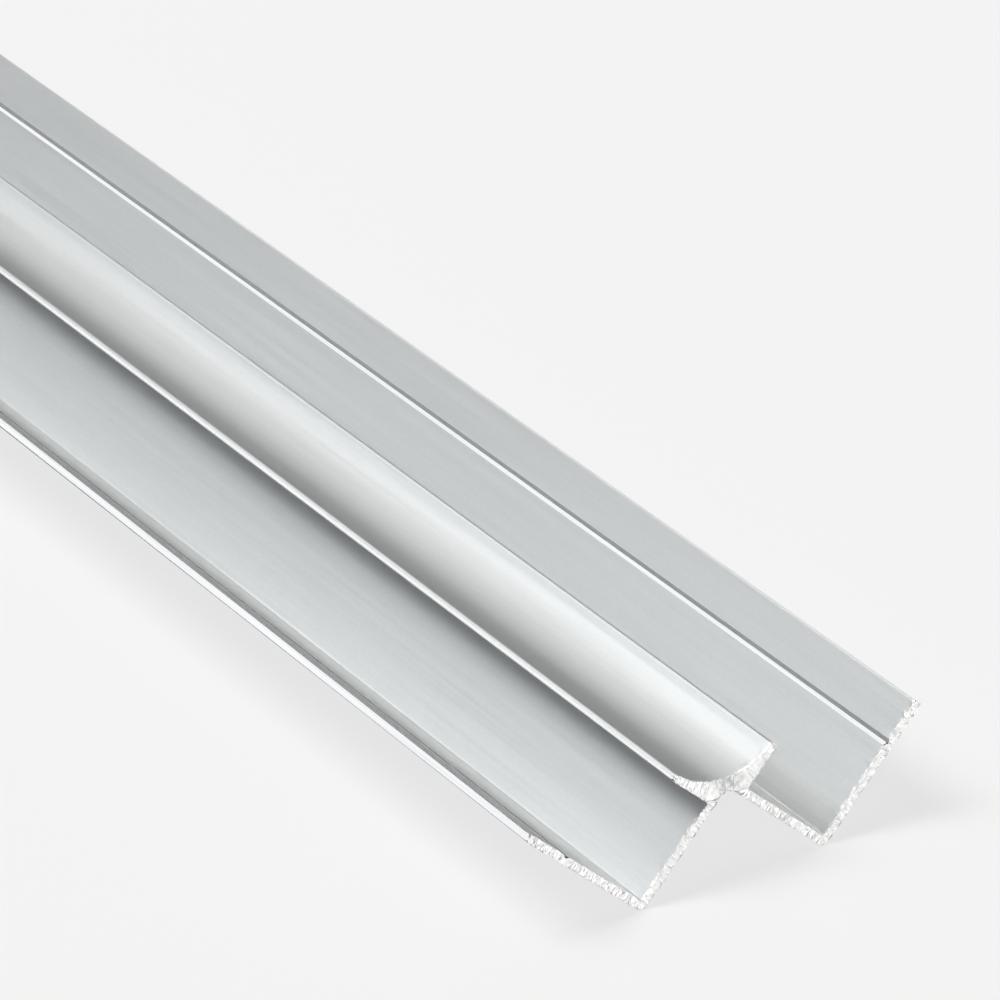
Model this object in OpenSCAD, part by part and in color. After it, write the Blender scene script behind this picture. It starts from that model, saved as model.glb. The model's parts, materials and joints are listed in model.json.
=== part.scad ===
// Inside-corner trim for wall panels: one extruded piece of aluminium.
// It lies on its two outer corners, with the cove facing up and its length along Y.

/* [Piece] */
// Length of the piece, along the corner of the room
length = 2450; // [300:10:3000]

/* [Panel channels] */
// Clear width of each channel, which takes the edge of a wall panel
panel_gap = 11.5; // [6:0.1:20]
// Thickness of the wall flanges, and of the webs that the panels' edges face
wall = 0.9; // [0.7:0.05:2]
// Reach of each wall flange past the front of its web
flange_reach = 16.1; // [8:0.1:30]
// Reach of each cover wing past the front of its web
wing_reach = 5.1; // [3:0.1:12]
// Radius in the inner corners of the channels
root_round = 0.2; // [0.1:0.05:0.5]

/* [Cove] */
// Radius of the hollow face that joins the two cover wings
cove_radius = 8; // [5:0.1:20]
// Thickness of a cover wing where the cove runs out level with it
tip_thick = 0.75; // [0.6:0.05:1.5]
// Metal between the middle of the cove and the round corner behind it
junction = 1.55; // [1:0.05:2.5]
// Radius of the hollow corner behind the cove
back_round = 1.25; // [0.5:0.05:3]

/* [Edges] */
// Radius of the outer corners, on which the piece lies
corner_round = 0.8; // [0.3:0.05:1.5]
// Radius of the flanges' free edges and of the wing tips' inner edges
edge_round = 0.1; // [0.05:0.05:0.3]
// Radius of the wing tips' outer edges, beside the cove
tip_round = 0.35; // [0.1:0.05:0.4]

/* [Drill line] */
// From the free edge of a wall flange to the middle of its drill line
groove_inset = 5; // [2:0.1:6]
// Width of the drill line's V at its mouth
groove_width = 0.8; // [0.4:0.05:1.2]
// Depth of the drill line's V
groove_depth = 0.25; // [0.1:0.05:0.5]

/* [Hidden] */
$fn = 96;

// Cuts and fillets run this far into the next shape
lap = wall / 3;

// The section is drawn with the corner of the room at the origin and the walls along x and y.
// These are distances from the wall behind a flange.
wing_face = wall + panel_gap;
tip_top = wing_face + tip_thick;
cove_centre = tip_top + cove_radius;

// These are distances along that wall, from the corner of the room.
cove_middle = cove_centre - cove_radius * cos(45);
web_back = cove_middle - junction * cos(45) + back_round * (1 - cos(45));
web_front = web_back + wall;
wing_end = web_front + wing_reach;
flange_end = web_front + flange_reach;
groove_at = flange_end - groove_inset;

// The arc of a wing tip's outer edge touches both the cove and the end of the wing.
tip_arc_at = wing_end - tip_round;
tip_arc_run = max(0, cove_centre - tip_arc_at);
tip_arc_reach = cove_radius + tip_round;
tip_arc_level = cove_centre - sqrt(tip_arc_reach * tip_arc_reach - tip_arc_run * tip_arc_run);
tip_touch_at = tip_arc_at + tip_arc_run * tip_round / tip_arc_reach;

// Height of the room's corner below the floor, once the section is turned to lie on its outer corners
rest_drop = web_back * cos(45) + corner_round * (sqrt(2) - 1);

// Straight sides of the section: one side's points, then the same points mirrored in reverse order
side = [
    [web_back, web_back],
    [web_back, 0],
    [flange_end, 0],
    [flange_end, wall],
    [web_front, wall],
    [web_front, wing_face],
    [wing_end, wing_face],
    [wing_end, wing_end]
];
mirrored = [for (i = [len(side) - 2 : -1 : 1]) [side[i].y, side[i].x]];

// Draws a shape on both sides of the section's diagonal
module both_sides() {
    children();
    mirror([1, -1])
        children();
}

// A square corner less its round: added, it fills an inner corner, and cut away, it rounds an edge
module spandrel(radius) {
    difference() {
        translate([-lap, -lap])
            square(radius + lap);
        translate([radius, radius])
            circle(radius);
    }
}

// The hollow between the wings: an arc, and a straight run where a wing reaches past the arc's end
module cove() {
    translate([cove_centre, cove_centre])
        circle(cove_radius);
    both_sides()
        translate([cove_centre, tip_top])
            square(flange_end);
}

// What the round outer edge of a wing tip leaves away
module tip_edge() {
    difference() {
        translate([tip_touch_at, tip_arc_level])
            square([wing_end + lap - tip_touch_at, tip_round + lap]);
        translate([tip_arc_at, tip_arc_level])
            circle(tip_round);
    }
}

// V that centres a drill, cut into the inner face of a wall flange
module drill_line() {
    translate([groove_at, wall])
        polygon([
            [-groove_width / 2, lap],
            [-groove_width / 2, 0],
            [0, -groove_depth],
            [groove_width / 2, 0],
            [groove_width / 2, lap]
        ]);
}

// Fillets in the two inner corners of a channel
module channel_fillets() {
    translate([web_front, wall])
        spandrel(root_round);
    translate([web_front, wing_face])
        rotate(-90)
            spandrel(root_round);
}

// Rounds on the outer corner, the free edge and the wing tip of one side
module side_rounds() {
    translate([web_back, 0])
        spandrel(corner_round);
    translate([flange_end, 0])
        rotate(90)
            spandrel(edge_round);
    translate([flange_end, wall])
        rotate(180)
            spandrel(edge_round);
    translate([wing_end, wing_face])
        rotate(90)
            spandrel(edge_round);
    tip_edge();
}

// The whole section, with the corner of the room at the origin
module section() {
    difference() {
        union() {
            polygon(concat(side, mirrored));
            both_sides()
                channel_fillets();
            translate([web_back, web_back])
                rotate(180)
                    spandrel(back_round);
        }
        cove();
        both_sides() {
            side_rounds();
            drill_line();
        }
    }
}

// The piece, with its middle over the origin
module corner_trim() {
    color("#c6c8ca")
        rotate([90, 0, 0])
            linear_extrude(length, center = true)
                translate([0, -rest_drop])
                    rotate(45)
                        section();
}

corner_trim();
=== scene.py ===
import json
import math

import bmesh
import bpy
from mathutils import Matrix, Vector

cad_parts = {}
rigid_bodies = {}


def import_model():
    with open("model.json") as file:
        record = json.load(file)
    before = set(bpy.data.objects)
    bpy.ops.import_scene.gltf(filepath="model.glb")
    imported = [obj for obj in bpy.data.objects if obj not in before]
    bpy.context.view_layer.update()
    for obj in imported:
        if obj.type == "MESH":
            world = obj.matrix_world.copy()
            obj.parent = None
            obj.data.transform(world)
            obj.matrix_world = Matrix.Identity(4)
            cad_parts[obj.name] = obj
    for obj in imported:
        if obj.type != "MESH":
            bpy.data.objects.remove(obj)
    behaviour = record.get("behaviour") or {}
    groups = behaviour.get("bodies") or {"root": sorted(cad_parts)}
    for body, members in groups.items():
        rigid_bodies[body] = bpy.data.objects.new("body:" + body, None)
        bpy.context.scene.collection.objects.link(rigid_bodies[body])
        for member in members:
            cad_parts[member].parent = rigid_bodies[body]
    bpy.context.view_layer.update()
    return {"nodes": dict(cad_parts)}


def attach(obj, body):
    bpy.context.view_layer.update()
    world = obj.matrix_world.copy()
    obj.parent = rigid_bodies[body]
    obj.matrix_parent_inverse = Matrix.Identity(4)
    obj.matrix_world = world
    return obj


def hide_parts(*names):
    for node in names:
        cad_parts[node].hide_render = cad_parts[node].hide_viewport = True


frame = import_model()
print("frame loaded, nodes:", sorted(frame["nodes"]))

scene = bpy.context.scene
scene.view_settings.view_transform = "Standard"
mm = 0.001
metre = 1000  # mm
noiseSpan = {"From Min": 0.3, "From Max": 0.7}  # where nearly all values of a noise lie


def linear(code):
    # sRGB hex to the linear colour that the shaders take
    parts = [int(code[i:i + 2], 16) / 255 for i in (1, 3, 5)]
    return [c / 12.92 if c <= 0.04045 else ((c + 0.055) / 1.055) ** 2.4 for c in parts] + [1.0]


def addNode(tree, kind, inputs=None, **settings):
    # a socket given as a value is linked, anything else is set on the input itself
    node = tree.nodes.new(kind)
    for name, value in settings.items():
        setattr(node, name, value)
    for name, value in (inputs or {}).items():
        if isinstance(value, bpy.types.NodeSocket):
            tree.links.new(value, node.inputs[name])
        else:
            node.inputs[name].default_value = value
    return node


def newMaterial(name):
    material = bpy.data.materials.new(name)
    material.use_nodes = True
    material.node_tree.nodes.clear()
    return material, material.node_tree


def objectPlace(tree, size=(metre, metre, metre), shift=(0, 0, 0)):
    # the piece's own coordinates, stretched so that one unit is one mark of the pattern, whose size is in mm
    place = addNode(tree, "ShaderNodeTexCoord")
    scale = [1 / (s * mm) if s else 0 for s in size]
    return addNode(tree, "ShaderNodeMapping", {
        "Vector": place.outputs["Object"], "Scale": scale, "Location": shift}).outputs["Vector"]


def finishMetal(tree, colour, roughness, height, depth, edgeTint="#ffffff"):
    # metal with its relief: height runs from 0 to 1 over a depth in mm
    relief = addNode(tree, "ShaderNodeBump", {"Height": height, "Distance": depth * mm})
    surface = addNode(tree, "ShaderNodeBsdfPrincipled", {
        "Base Color": colour, "Metallic": 1.0, "Roughness": roughness,
        "Specular Tint": linear(edgeTint), "Normal": relief.outputs["Normal"]})
    addNode(tree, "ShaderNodeOutputMaterial", {"Surface": surface.outputs["BSDF"]})


# Camera: where the photographer stood, left of the sawn end and above it

shot = {
    "place": (-333.2, -1810.96, 388.11),  # mm
    "turn": (62.822, 4.199, -30.102),  # degrees, a little rolled
    "lens": 286.1,  # mm
    "sensor": 36,  # mm
    "clip": (0.01, 200),  # m
}

bpy.ops.object.select_all(action="DESELECT")
bpy.ops.object.camera_add(
    location=[c * mm for c in shot["place"]],
    rotation=[math.radians(a) for a in shot["turn"]])
camera = bpy.context.object
camera.name = "photoCamera"
camera.data.lens = shot["lens"]
camera.data.sensor_width = shot["sensor"]
camera.data.clip_start, camera.data.clip_end = shot["clip"]
scene.camera = camera
print("camera placed")

# Trim: the section is traced round its right half, mirrored, rounded and drawn out to length

sizes = {
    "length": 2450.0,  # all in mm
    "wall": 0.9,
    "panelGap": 11.5,
    "flangeReach": 16.1,
    "wingReach": 5.1,
    "tipThick": 0.75,
    "coveRadius": 8.0,
    "junction": 1.55,
    "backRound": 1.25,
    "cornerRound": 0.8,
    "edgeRound": 0.1,
    "rootRound": 0.2,
    "tipRound": 0.35,
    "grooveInset": 5.0,
    "grooveWidth": 0.8,
    "grooveDepth": 0.25,
    "outlineStep": 0.16,  # spacing of points round the section
    "dieLine": 0.0012,  # scatter of those points, which the length turns into die lines
    "endSlices": (0.05, 0.08, 0.14, 0.25, 0.5, 1.2, 4.0),  # from the sawn end inwards
    "weld": 0.002,  # points nearer than this become one
    "hair": 0.01,  # points nearer than this count as the same place
}
steps = {"cove": 40, "tip": 8, "largeRound": 10, "smallRound": 5}  # straight pieces in each arc
dieSeed = 11
smoothAngle = math.radians(30)
manyCorners = 100  # only the two ends of the piece are faces with more corners than this

half = math.sqrt(0.5)
wingFace = sizes["wall"] + sizes["panelGap"]
tipTop = wingFace + sizes["tipThick"]
coveCentre = tipTop + sizes["coveRadius"]
coveMiddle = coveCentre - sizes["coveRadius"] * half
webBack = coveMiddle - sizes["junction"] * half + sizes["backRound"] * (1 - half)
webFront = webBack + sizes["wall"]
wingEnd = webFront + sizes["wingReach"]
flangeEnd = webFront + sizes["flangeReach"]
grooveAt = flangeEnd - sizes["grooveInset"]
restDrop = webBack * half + sizes["cornerRound"] * (math.sqrt(2) - 1)
nearEnd = -sizes["length"] / 2

# the round at a wing tip touches both the cove and the tip's end
tipArcAt = wingEnd - sizes["tipRound"]
tipArcRun = coveCentre - tipArcAt
tipArcReach = sizes["coveRadius"] + sizes["tipRound"]
tipArcRise = math.sqrt(tipArcReach ** 2 - tipArcRun ** 2)
tipArcLevel = coveCentre - tipArcRise
tipArcTurn = math.atan2(tipArcRise, tipArcRun)


def inSection(along, off, hand=1):
    # along one wall and off it, in mm from the room's corner, to metres with the piece lying down
    return Vector((hand * (along - off) * half * mm, nearEnd * mm, ((along + off) * half - restDrop) * mm))


def selectVerts(test):
    mesh = bmesh.from_edit_mesh(bpy.context.object.data)
    for vert in mesh.verts:
        vert.select = test(vert.co)
    mesh.select_flush_mode()
    bmesh.update_edit_mesh(bpy.context.object.data)


def selectParts(kind, test):
    # kind is edges or faces
    mesh = bmesh.from_edit_mesh(bpy.context.object.data)
    for part in getattr(mesh, kind):
        part.select_set(False)
    for part in getattr(mesh, kind):
        if test(part):
            part.select_set(True)
    bmesh.update_edit_mesh(bpy.context.object.data)


def traceSection():
    corners = [
        (webBack, webBack),
        (webBack, 0),
        (flangeEnd, 0),
        (flangeEnd, sizes["wall"]),
        (grooveAt + sizes["grooveWidth"] / 2, sizes["wall"]),
        (grooveAt, sizes["wall"] - sizes["grooveDepth"]),
        (grooveAt - sizes["grooveWidth"] / 2, sizes["wall"]),
        (webFront, sizes["wall"]),
        (webFront, wingFace),
        (wingEnd, wingFace),
        (wingEnd, tipArcLevel),
    ]
    points = [inSection(*c) for c in corners]
    bpy.ops.object.select_all(action="DESELECT")
    bpy.ops.mesh.primitive_plane_add(size=mm, location=points[0])
    bpy.ops.object.transform_apply(location=True)
    bpy.ops.object.mode_set(mode="EDIT")
    bpy.ops.mesh.select_mode(type="VERT")
    bpy.ops.mesh.select_all(action="SELECT")
    bpy.ops.mesh.merge(type="CENTER")
    for start, end in zip(points, points[1:]):
        bpy.ops.mesh.extrude_region_move(TRANSFORM_OT_translate={"value": end - start})
    # round the tip, then along the cove to its middle
    bpy.ops.mesh.spin(
        steps=steps["tip"], angle=tipArcTurn, center=inSection(tipArcAt, tipArcLevel), axis=(0, 1, 0))
    bpy.ops.mesh.spin(
        steps=steps["cove"], angle=math.radians(45) - tipArcTurn,
        center=inSection(coveCentre, coveCentre), axis=(0, 1, 0))
    # the other side
    bpy.ops.mesh.select_all(action="SELECT")
    bpy.ops.mesh.duplicate()
    bpy.ops.transform.resize(value=(-1, 1, 1), center_override=(0, 0, 0))
    bpy.ops.mesh.select_all(action="SELECT")
    bpy.ops.mesh.remove_doubles(threshold=sizes["weld"] * mm)
    bpy.ops.mesh.edge_face_add()


def roundCorners(corners, radius, segments):
    spots = [inSection(a, o, hand) for a, o in corners for hand in (1, -1)]
    selectVerts(lambda co: any((co - s).length < sizes["hair"] * mm for s in spots))
    bpy.ops.mesh.bevel(
        offset=radius * mm, segments=segments, profile=0.5, affect="VERTICES", clamp_overlap=False)


def splitOutline(step):
    # every run longer than the step is cut into even pieces
    def cutsFor(edge):
        return round(edge.calc_length() / step) - 1

    mesh = bmesh.from_edit_mesh(bpy.context.object.data)
    for cuts in sorted({cutsFor(e) for e in mesh.edges}):
        if cuts > 0:
            selectParts("edges", lambda edge: cutsFor(edge) == cuts)
            bpy.ops.mesh.subdivide(number_cuts=cuts)


sawnEnd = {
    "lip": 0.05,  # mm, width of the burred rim round the cut, less than the smallest round on the section
    "dish": 0.03,  # mm, how far the cut lies behind the rim
    "ragged": (0.035, 0.02, 0.008),  # mm, scatter of the rim and of the slices behind it
    "level": 0.005,  # mm, how near to its level a slice's points are looked for
    "burrShare": 0.2,  # share of the rim that is pushed over by the saw
    "burr": 0.07,  # mm, how far it is pushed
    "tooth": 0.07,  # roughness of the cut, as a share of its facets' size
    "facetCuts": 2,  # times that each side of a facet is cut for that roughness
    "seed": 23,
    "torn": 0.55,  # mm, size of the bits that the saw tore along the rim
    "tornDetail": 2,  # finer waves within such a bit
    "tornDepth": {"Y": 0.6, "NORMAL": 0.2},  # mm, most that a bit can stand out or lie back
    "tornReach": 0.45,  # mm, how far the tearing goes down the sides
    "facing": 0.4,  # a face that looks along the length by this much or more belongs to the cut
}


def selectEnd(side):
    selectParts(
        "faces", lambda face: len(face.verts) > manyCorners and face.calc_center_median().y * side > 0)


def roughenEnd(side):
    # side is -1 at the near end and 1 at the far one
    seed = sawnEnd["seed"] + side
    endY = side * sizes["length"] / 2
    depths = [0]
    for step in sizes["endSlices"][:len(sawnEnd["ragged"]) - 1]:
        depths.append(depths[-1] + step)
    # the rim first, so that the cut inside it stays flat for its own relief
    selectEnd(side)
    bpy.ops.mesh.inset(thickness=sawnEnd["lip"] * mm, depth=-sawnEnd["dish"] * mm)
    selectEnd(side)
    bpy.ops.mesh.quads_convert_to_tris(quad_method="BEAUTY", ngon_method="BEAUTY")
    bpy.ops.mesh.beautify_fill(angle_limit=math.pi)  # no long slivers, which would show as streaks
    bpy.ops.mesh.subdivide(
        number_cuts=sawnEnd["facetCuts"], fractal=sawnEnd["tooth"], fractal_along_normal=1.0, seed=seed)
    for turn, (depth, scatter) in enumerate(zip(depths, sawnEnd["ragged"])):
        level = endY - side * depth
        selectVerts(lambda co: abs(co.y / mm - level) < sawnEnd["level"])
        bpy.ops.transform.vertex_random(offset=scatter * mm, seed=seed + turn)
    selectVerts(lambda co: abs(co.y / mm - endY) < sawnEnd["ragged"][0])
    bpy.ops.mesh.select_random(ratio=1 - sawnEnd["burrShare"], seed=seed, action="DESELECT")
    bpy.ops.transform.translate(value=(0, side * sawnEnd["burr"] * mm, 0))


def tearRims(trim):
    # the rim of each cut waves in and out, less and less down the sides
    rimName = "sawnRim"  # kept as text, because applying a modifier replaces the mesh and its groups
    group = trim.vertex_groups.new(name=rimName)
    for vert in trim.data.vertices:
        depth = sizes["length"] / 2 - abs(vert.co.y) / mm
        if depth < sawnEnd["tornReach"]:
            group.add([vert.index], min(1, 1 - depth / sawnEnd["tornReach"]), "REPLACE")
    torn = bpy.data.textures.new("tornRim", "CLOUDS")
    torn.noise_scale = sawnEnd["torn"] * mm
    torn.noise_depth = sawnEnd["tornDetail"]
    for direction, most in sawnEnd["tornDepth"].items():
        wave = trim.modifiers.new("torn" + direction, "DISPLACE")
        wave.texture = torn
        wave.texture_coords = "LOCAL"
        wave.vertex_group = rimName
        wave.direction = direction
        wave.strength = most * mm
        bpy.ops.object.modifier_apply(modifier=wave.name)


def buildTrim():
    traceSection()
    roundCorners([(webBack, webBack)], sizes["backRound"], steps["largeRound"])
    roundCorners([(webBack, 0)], sizes["cornerRound"], steps["largeRound"])
    freeEdges = [(flangeEnd, 0), (flangeEnd, sizes["wall"]), (wingEnd, wingFace)]
    roundCorners(freeEdges, sizes["edgeRound"], steps["smallRound"])
    channelRoots = [(webFront, sizes["wall"]), (webFront, wingFace)]
    roundCorners(channelRoots, sizes["rootRound"], steps["smallRound"])
    # the face goes while the outline is cut up, because it would be cut across with it
    bpy.ops.mesh.select_all(action="SELECT")
    bpy.ops.mesh.delete(type="ONLY_FACE")
    splitOutline(sizes["outlineStep"] * mm)
    bpy.ops.mesh.select_all(action="SELECT")
    bpy.ops.mesh.edge_face_add()
    trim = bpy.context.object
    trim.name = "trimPiece"
    trim.data.name = "trimPiece"
    # the die's own scratches: every point a hair off, then flat again
    bpy.ops.mesh.select_all(action="SELECT")
    bpy.ops.transform.vertex_random(offset=sizes["dieLine"] * mm, seed=dieSeed)
    bpy.ops.transform.resize(value=(1, 0, 1), center_override=(0, nearEnd * mm, 0))
    # drawn out along the length, in thin slices beside both sawn ends
    slices = list(sizes["endSlices"])
    middle = sizes["length"] - 2 * sum(slices)
    for step in slices + [middle] + slices[::-1]:
        bpy.ops.mesh.extrude_region_move(TRANSFORM_OT_translate={"value": (0, step * mm, 0)})
    bpy.ops.mesh.select_all(action="SELECT")
    bpy.ops.mesh.normals_make_consistent(inside=False)
    for side in (-1, 1):
        roughenEnd(side)
    bpy.ops.object.mode_set(mode="OBJECT")
    tearRims(trim)
    bpy.ops.object.shade_smooth_by_angle(angle=smoothAngle)
    return trim


trim = buildTrim()
print("trim built:", len(trim.data.vertices), "points,", len(trim.data.polygons), "faces")

# Satin anodised aluminium: etched and then anodised, so it is a soft cool grey with no mirror image in it.
# Die streaks run down its length and the etch left a fine grain. Beside a cut the film is chipped off.

satinLook = {
    "film": ("#d6d8d8", "#dee0e0"),  # the dull streaks and the clear ones
    "bare": "#f6f6f5",
    "edgeTint": "#dcdcdc",  # at a low angle light goes further through the film and less of it comes back
    "roughness": {"To Min": 0.48, "To Max": 0.56},
    "streak": (0.4, 45.0, 0.4),  # mm, a die streak's width, length along Y and width
    "streakDetail": {"Detail": 3.0, "Roughness": 0.6},  # finer streaks within it, and how much they count
    "grain": 0.32,  # mm, drawn coarser than the real etch of about 0.03 mm, which would not show
    "streakShare": 0.55,  # the rest is grain
    "relief": 0.004,  # mm
    "chip": 0.5,  # mm, size of a chip in the film
    "chipDetail": 3.0,
    "chipReach": 0.5,  # mm from the cut
    "chipLevel": {"To Min": 0.74, "To Max": 0.4},  # above it the film is gone, at the reach and at the cut
    "chipBorder": {"From Min": -0.03, "From Max": 0.03},  # how far round that level the film thins out
}

satin, tree = newMaterial("satinAnodisedAluminium")
streaks = addNode(tree, "ShaderNodeTexNoise", {
    "Vector": objectPlace(tree, satinLook["streak"]), "Scale": 1.0, **satinLook["streakDetail"]})
grain = addNode(tree, "ShaderNodeTexNoise", {
    "Vector": objectPlace(tree, [satinLook["grain"]] * 3), "Scale": 1.0})
both = addNode(tree, "ShaderNodeMix", {
    0: satinLook["streakShare"], 2: grain.outputs["Fac"], 3: streaks.outputs["Fac"]})
pattern = addNode(tree, "ShaderNodeMapRange", {"Value": both.outputs[0], **noiseSpan}).outputs["Result"]
dull, clear = [linear(c) for c in satinLook["film"]]
film = addNode(tree, "ShaderNodeMix", {0: pattern, 6: dull, 7: clear}, data_type="RGBA")
# chips: a noise that has to pass a level, which rises with the distance from the nearer cut
chips = addNode(tree, "ShaderNodeTexNoise", {
    "Vector": objectPlace(tree, [satinLook["chip"]] * 3), "Scale": 1.0, "Detail": satinLook["chipDetail"]})
place = addNode(tree, "ShaderNodeSeparateXYZ", {"Vector": objectPlace(tree)})
fromMiddle = addNode(tree, "ShaderNodeMath", {0: place.outputs["Y"]}, operation="ABSOLUTE")
endAt = sizes["length"] / 2 * mm
chipLevel = addNode(tree, "ShaderNodeMapRange", {
    "Value": fromMiddle.outputs[0], "From Min": endAt - satinLook["chipReach"] * mm, "From Max": endAt,
    **satinLook["chipLevel"]}, clamp=False)
above = addNode(tree, "ShaderNodeMath", {
    0: chips.outputs["Fac"], 1: chipLevel.outputs["Result"]}, operation="SUBTRACT")
chipped = addNode(tree, "ShaderNodeMapRange", {"Value": above.outputs[0], **satinLook["chipBorder"]})
colour = addNode(tree, "ShaderNodeMix", {
    0: chipped.outputs["Result"], 6: film.outputs[2], 7: linear(satinLook["bare"])}, data_type="RGBA")
roughness = addNode(tree, "ShaderNodeMapRange", {"Value": pattern, **satinLook["roughness"]})
finishMetal(
    tree, colour.outputs[2], roughness.outputs["Result"], pattern,
    satinLook["relief"], satinLook["edgeTint"])

# Burnished aluminium: edges and drill lines that the die left smooth, so they mirror the lamps in streaks

burnishedLook = {
    "colour": ("#e6e9eb", "#f4f5f6"),
    "roughness": {"To Min": 0.06, "To Max": 0.1},
    "streak": (0.12, 20.0, 0.12),  # mm, width, length along Y and width
    "streakDetail": {"Detail": 3.0, "Roughness": 0.5},
    "relief": 0.0003,  # mm
}

burnished, tree = newMaterial("burnishedAluminiumEdge")
streaks = addNode(tree, "ShaderNodeTexNoise", {
    "Vector": objectPlace(tree, burnishedLook["streak"]), "Scale": 1.0, **burnishedLook["streakDetail"]})
pattern = addNode(tree, "ShaderNodeMapRange", {
    "Value": streaks.outputs["Fac"], **noiseSpan}).outputs["Result"]
dull, bright = [linear(c) for c in burnishedLook["colour"]]
colour = addNode(tree, "ShaderNodeMix", {0: pattern, 6: dull, 7: bright}, data_type="RGBA")
roughness = addNode(tree, "ShaderNodeMapRange", {"Value": pattern, **burnishedLook["roughness"]})
finishMetal(tree, colour.outputs[2], roughness.outputs["Result"], pattern, burnishedLook["relief"])

# Sawn aluminium: torn by the teeth into bright and dull specks, smeared grey in the section's thick middle

sawnLook = {
    "colour": ("#fefefd", "#ededec"),
    "smear": "#cdd0d1",
    "roughness": {"To Min": 0.45, "To Max": 0.7},
    "speck": 0.7,  # mm
    "speckDetail": {"Detail": 4.0, "Roughness": 0.65},  # finer specks within it, and how much they count
    "dullSpan": {"From Min": 0.5, "From Max": 0.68},  # the specks' values over which bright turns to dull
    "teeth": 0.22,  # mm between the marks of the teeth
    "teethWave": {"Scale": 0.31, "Distortion": 2.5, "Detail": 2.0},  # 0.31 makes a wave about one unit long
    "relief": 0.004,  # mm
    "speckShare": 0.7,  # of the relief, the rest is the teeth
    "smearAt": 10.4,  # mm above the floor, between the cove and the hollow behind it
    "smearSize": 2.6,  # mm
    "smearSpan": {"From Min": 0.1, "From Max": 0.7},  # from no smear to full smear, going in to its middle
    "smearSpecks": {"From Min": 0.38, "From Max": 0.6},  # the specks' values over which the smear takes
}

sawn, tree = newMaterial("sawnAluminium")
specks = addNode(tree, "ShaderNodeTexNoise", {
    "Vector": objectPlace(tree, [sawnLook["speck"]] * 3), "Scale": 1.0,
    **sawnLook["speckDetail"]}).outputs["Fac"]
dullShare = addNode(tree, "ShaderNodeMapRange", {"Value": specks, **sawnLook["dullSpan"]})
bright, dull = [linear(c) for c in sawnLook["colour"]]
speckled = addNode(tree, "ShaderNodeMix", {
    0: dullShare.outputs["Result"], 6: bright, 7: dull}, data_type="RGBA")
teeth = addNode(tree, "ShaderNodeTexWave", {
    "Vector": objectPlace(tree, [sawnLook["teeth"]] * 3), **sawnLook["teethWave"]},
    wave_type="BANDS", bands_direction="Z")
smearSize = sawnLook["smearSize"]
smearShift = (0, 0, -sawnLook["smearAt"] / smearSize)
ball = addNode(tree, "ShaderNodeTexGradient", {
    "Vector": objectPlace(tree, (smearSize, 0, smearSize), smearShift)}, gradient_type="SPHERICAL")
inBall = addNode(tree, "ShaderNodeMapRange", {"Value": ball.outputs["Fac"], **sawnLook["smearSpan"]})
onSpecks = addNode(tree, "ShaderNodeMapRange", {"Value": specks, **sawnLook["smearSpecks"]})
smear = addNode(tree, "ShaderNodeMath", {
    0: inBall.outputs["Result"], 1: onSpecks.outputs["Result"]}, operation="MULTIPLY")
colour = addNode(tree, "ShaderNodeMix", {
    0: smear.outputs[0], 6: speckled.outputs[2], 7: linear(sawnLook["smear"])}, data_type="RGBA")
roughness = addNode(tree, "ShaderNodeMapRange", {"Value": specks, **noiseSpan, **sawnLook["roughness"]})
height = addNode(tree, "ShaderNodeMix", {0: sawnLook["speckShare"], 2: teeth.outputs["Fac"], 3: specks})
finishMetal(tree, colour.outputs[2], roughness.outputs["Result"], height.outputs[0], sawnLook["relief"])

finishes = [satin, burnished, sawn]
for material in finishes:
    trim.data.materials.append(material)


def finishOf(face):
    # which finish a face gets, by where it lies on the section
    fromEnd = sizes["length"] / 2 - abs(face.center.y) / mm
    if fromEnd < sawnEnd["tornReach"] and abs(face.normal.y) > sawnEnd["facing"]:
        return sawn
    across, up = abs(face.center.x) / mm, face.center.z / mm + restDrop
    along, off = (up + across) * half, (up - across) * half
    hair, edge = sizes["hair"], sizes["edgeRound"]
    onFreeEdge = along > flangeEnd - edge and off < sizes["wall"] - edge / 2
    onWingTip = along > wingEnd - edge and wingFace - hair < off < tipArcLevel + hair
    inGroove = abs(along - grooveAt) < sizes["grooveWidth"] / 2 and hair < off < sizes["wall"] - hair
    return burnished if onFreeEdge or onWingTip or inGroove else satin


for face in trim.data.polygons:
    face.material_index = finishes.index(finishOf(face))
print("finishes given")

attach(trim, "root")
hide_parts("corner_trim")

# Floor: plain pale paper. Part of its brightness is its own, so that it stays even and its shadow is light.

floorLook = {
    "size": 80,  # m
    "paper": "#dedede",
    "glow": 0.945,  # what the camera and the metal see of it where no shadow falls
    "glowShare": 0.76,
}

bpy.ops.object.select_all(action="DESELECT")
bpy.ops.mesh.primitive_plane_add(size=floorLook["size"])
floor = bpy.context.object
floor.name = "studioFloor"
paper, tree = newMaterial("paleStudioPaper")
matte = addNode(tree, "ShaderNodeBsdfDiffuse", {"Color": linear(floorLook["paper"])})
glow = addNode(tree, "ShaderNodeEmission", {"Strength": floorLook["glow"]})
rays = addNode(tree, "ShaderNodeLightPath").outputs
seen = addNode(tree, "ShaderNodeMath", {
    0: rays["Is Camera Ray"], 1: rays["Is Glossy Ray"]}, operation="MAXIMUM")
seen = addNode(tree, "ShaderNodeMath", {
    0: seen.outputs[0], 1: rays["Is Transmission Ray"]}, operation="MAXIMUM")
share = addNode(tree, "ShaderNodeMath", {
    0: seen.outputs[0], 1: floorLook["glowShare"]}, operation="MULTIPLY")
both = addNode(tree, "ShaderNodeMixShader", {
    0: share.outputs[0], 1: matte.outputs["BSDF"], 2: glow.outputs["Emission"]})
addNode(tree, "ShaderNodeOutputMaterial", {"Surface": both.outputs["Shader"]})
floor.data.materials.append(paper)
print("floor laid")

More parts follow.
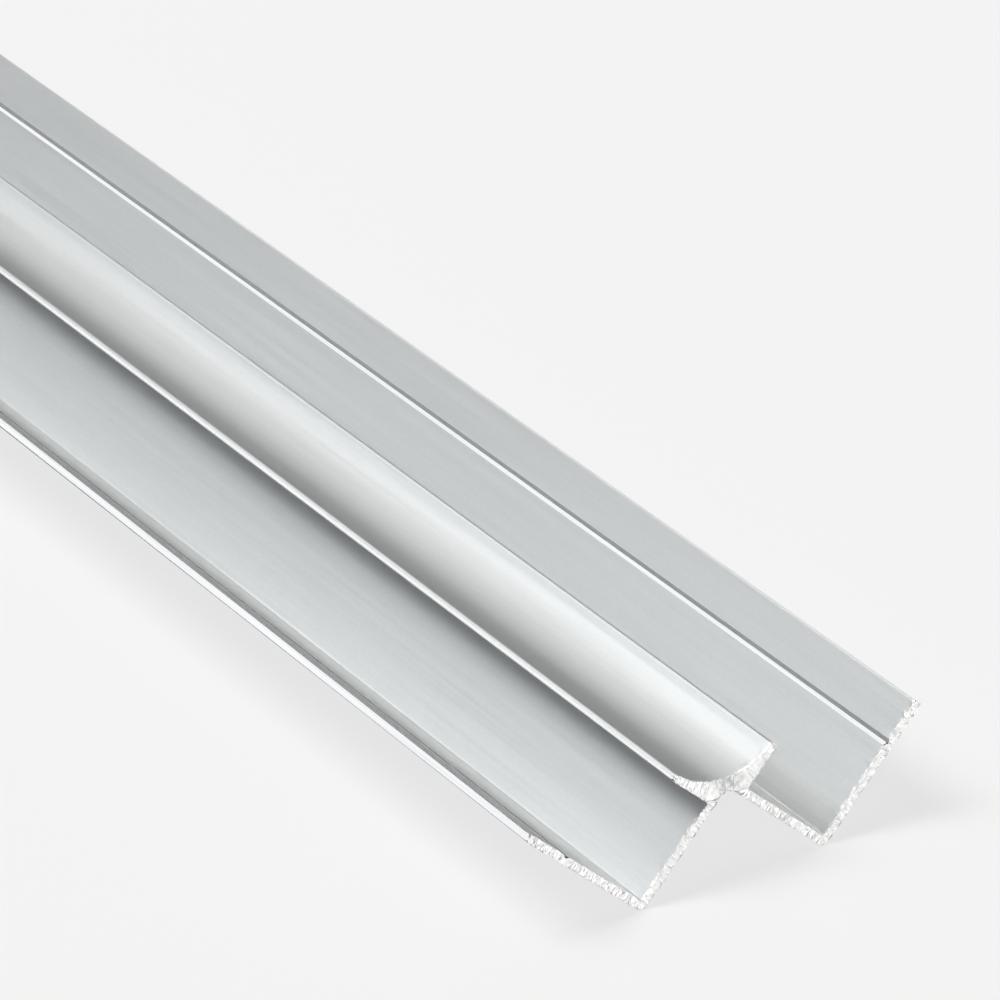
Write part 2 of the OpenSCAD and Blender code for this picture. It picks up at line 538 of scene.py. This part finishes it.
# Light: a strong soft box high on the left, two weaker ones behind it and one on the right at the back,
# three small panels for the bright edges and the drill lines to mirror, and one that faces the sawn end

lamps = {
    "keySoftbox": {"place": (-1.48, -0.25, 4.65), "size": (1.8, 2.9), "watts": 197, "tint": "#fffdf9"},
    "leftSoftbox": {"place": (-2.46, 0.87, 3.83), "size": (2.4, 1.6), "watts": 36, "tint": "#f1f7ff"},
    "backSoftbox": {"place": (-1.2, 0.95, 4.3), "size": (1.8, 1.8), "watts": 24.5, "tint": "#f7faff"},
    "rightSoftbox": {"place": (2.05, 2.35, 2.87), "size": (1.8, 1.5), "watts": 16.5, "tint": "#ffffff"},
    "edgePanel": {"place": (-2.47, 2.97, 2.06), "size": (1.25, 1.0), "watts": 4.2, "tint": "#ffffff"},
    "groovePanel": {"place": (0.93, 3.0, 3.03), "size": (0.9, 1.6), "watts": 4.8, "tint": "#ffffff"},
    "rightPanel": {"place": (2.87, 2.95, 1.31), "size": (1.2, 0.9), "watts": 0.6, "tint": "#ffffff"},
    "endSoftbox": {"place": (0, -5.45, 0.75), "size": (3.0, 1.2), "watts": 86, "tint": "#ffffff"},
}
aim = Vector((0, -1.2, 0))  # m, near the sawn end
roomLook = {"colour": "#ffffff", "strength": 0.02}  # a dark room, so that the soft boxes shape the metal

for name, lamp in lamps.items():
    place = Vector(lamp["place"])
    bpy.ops.object.light_add(
        type="AREA", location=place, rotation=(aim - place).to_track_quat("-Z", "Y").to_euler())
    light = bpy.context.object
    light.name = name
    light.data.shape = "RECTANGLE"
    light.data.size, light.data.size_y = lamp["size"]
    light.data.energy = lamp["watts"]
    light.data.color = linear(lamp["tint"])[:3]
    light.visible_camera = False

world = bpy.data.worlds.new("studio")
scene.world = world
world.use_nodes = True
tree = world.node_tree
tree.nodes.clear()
room = addNode(tree, "ShaderNodeBackground", {
    "Color": linear(roomLook["colour"]), "Strength": roomLook["strength"]})
addNode(tree, "ShaderNodeOutputWorld", {"Surface": room.outputs["Background"]})
print("light set")
